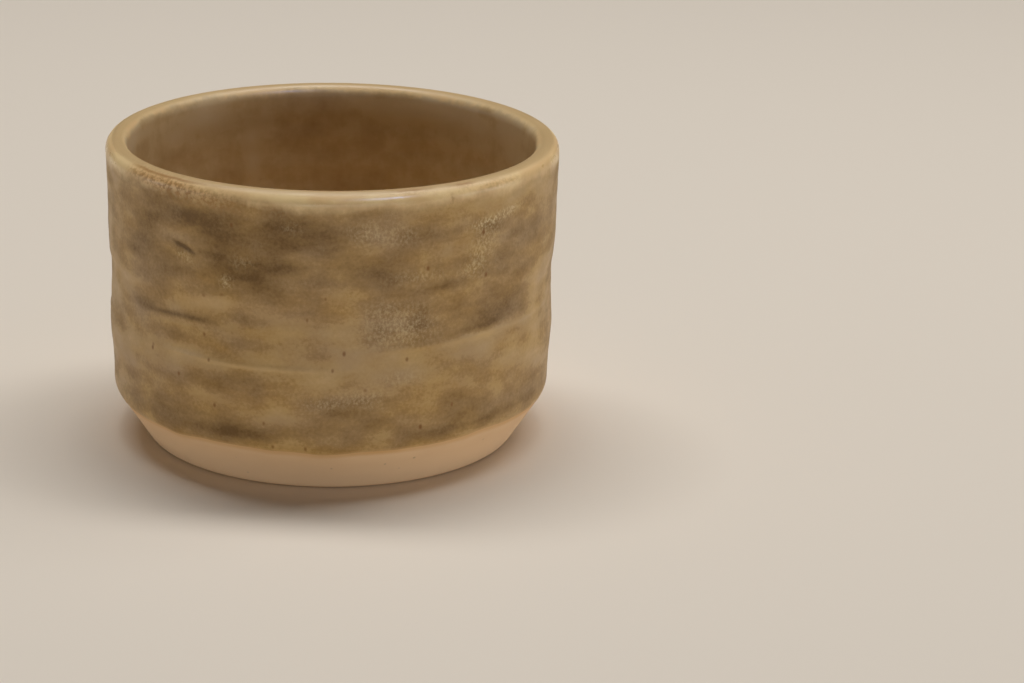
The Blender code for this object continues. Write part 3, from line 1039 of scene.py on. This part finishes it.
class CUP_OT_liner_glaze(bpy.types.Operator):
    """Coat the inside with liner glaze, from the floor to the seam on the lip"""

    bl_idname = "cup.liner_glaze"
    bl_label = "Liner glaze"

    def execute(self, context):
        sizes = context.scene.cup_sizes
        skin = ClaySkin(sizes)
        seam = seam_distance(skin, sizes)
        lap = np.linspace(0, 2 * sizes.seam_lap, LAP_ROWS)
        seen = coat_rows(np.zeros(RING_POINTS), seam + sizes.seam_lap, LINER_ROW, np.zeros(1), lap)
        thickness = sizes.glaze_thickness * past_seam(seam - seen, sizes)
        distance, lift = with_buried_face(seen, thickness)
        radius, height = skin.at(distance, lift)
        azimuth = np.broadcast_to(AZIMUTHS, radius.shape)
        layers = {
            "thin": painted(LINER_MARKS, azimuth, height),
            "rust": painted(RUST_MARKS, azimuth, height),
            "from_crest": (distance - skin.on_lip(math.pi / 2)) / MM,
            "from_seam": np.abs(distance - seam) / MM,
        }
        radius, height = thrown(radius, height, sizes)
        mesh = turned_mesh("liner_glaze_coat", radius, height, False, layers)
        material = liner_glaze(context.scene.cup_colours)
        place_piece("liner_glaze_coat", mesh, material, "liner_glaze")
        return {"FINISHED"}


class CUP_OT_stage(bpy.types.Operator):
    """Set out the floor, the soft light and the camera"""

    bl_idname = "cup.stage"
    bl_label = "Stage"

    def execute(self, context):
        stage = context.scene.cup_stage
        self.lay_floor(context, stage)
        self.light(context, stage)
        self.aim_camera(context)
        return {"FINISHED"}

    def lay_floor(self, context, stage):
        """A plain board under the cup."""
        half = FLOOR_HALF
        corners = [(-half, -half, 0), (half, -half, 0), (half, half, 0), (-half, half, 0)]
        mesh = bpy.data.meshes.new("floor")
        mesh.from_pydata(corners, [], [(0, 1, 2, 3)])
        mesh.materials.append(plain_floor(stage))
        floor = bpy.data.objects.new("floor", mesh)
        context.scene.collection.objects.link(floor)

    def light(self, context, stage):
        """A dim surround, six softboxes, and a small cool lamp that only shows in reflections."""
        world = bpy.data.worlds.new("soft_surround")
        world.use_nodes = True
        background = world.node_tree.nodes["Background"]
        background.inputs["Color"].default_value = rgba(stage.sky)
        background.inputs["Strength"].default_value = stage.sky_strength
        context.scene.world = world
        for name, place, size, watts in (
            ("key_softbox", (0.03, 0.17, 0.87), (1.0, 0.18), stage.key),
            ("top_softbox", (0.0, 0.09, 0.9), (0.25, 0.25), stage.top),
            ("high_softbox", (0.5, 0.2, 0.65), (0.3, 0.3), stage.high),
            ("right_softbox", (0.83, -0.15, 0.07), (0.5, 0.12), stage.right),
            ("left_softbox", (-0.83, -0.05, 0.07), (0.5, 0.12), stage.left),
            ("front_softbox", (0.1, -0.86, 0.06), (0.9, 0.1), stage.front),
        ):
            self.hang_lamp(context, name, place, size, watts)
        glint = self.hang_lamp(context, "glint_lamp", (0.32, -0.51, 0.67), (0.25, 0.04), stage.glint)
        glint.data.color = stage.glint_colour
        glint.visible_diffuse = False

    def hang_lamp(self, context, name, place, size, watts):
        """A flat lamp, aimed at the foot of the cup."""
        lamp = bpy.data.lights.new(name, "AREA")
        lamp.shape = "RECTANGLE"
        lamp.size, lamp.size_y = size
        lamp.energy = watts
        softbox = bpy.data.objects.new(name, lamp)
        softbox.location = place
        softbox.rotation_euler = (-softbox.location).to_track_quat("-Z", "Y").to_euler()
        context.scene.collection.objects.link(softbox)
        return softbox

    def aim_camera(self, context):
        """The camera where the photo was taken from."""
        lens = bpy.data.cameras.new("camera")
        lens.lens = LENS
        lens.sensor_width = SENSOR_WIDTH
        lens.clip_start = NEAREST
        camera = bpy.data.objects.new("camera", lens)
        turn = Matrix.Rotation(CAMERA_TURN, 4, "Z")
        tilt = Matrix.Rotation(math.pi / 2 + CAMERA_PITCH, 4, "X")
        roll = Matrix.Rotation(CAMERA_ROLL, 4, "Z")
        camera.matrix_world = Matrix.Translation(CAMERA_PLACE) @ turn @ tilt @ roll
        context.scene.collection.objects.link(camera)
        context.scene.camera = camera
        context.scene.view_settings.view_transform = "Standard"


class CUP_PT_looks(bpy.types.Panel):
    """Sizes, colours and steps of the cup"""

    bl_label = "Espresso cup"
    bl_space_type = "VIEW_3D"
    bl_region_type = "UI"
    bl_category = "Cup"

    def draw(self, context):
        for group in (context.scene.cup_sizes, context.scene.cup_colours, context.scene.cup_stage):
            box = self.layout.box()
            for name in group.__annotations__:
                box.prop(group, name)
        for step in STEPS_IN_ORDER:
            self.layout.operator(step.bl_idname)


STEPS_IN_ORDER = (CUP_OT_clay_body, CUP_OT_outer_glaze, CUP_OT_liner_glaze, CUP_OT_stage)
GROUPS = {"cup_sizes": CupSizes, "cup_colours": CupColours, "cup_stage": CupStage}
CLASSES = (*GROUPS.values(), *STEPS_IN_ORDER, CUP_PT_looks)


def register():
    for kind in CLASSES:
        bpy.utils.register_class(kind)
    for name, group in GROUPS.items():
        setattr(bpy.types.Scene, name, bpy.props.PointerProperty(type=group))


def unregister():
    for name in GROUPS:
        delattr(bpy.types.Scene, name)
    for kind in reversed(CLASSES):
        bpy.utils.unregister_class(kind)


def main():
    register()
    bpy.ops.cup.clay_body()
    bpy.ops.cup.outer_glaze()
    bpy.ops.cup.liner_glaze()
    bpy.ops.cup.stage()


if __name__ == "__main__":
    main()
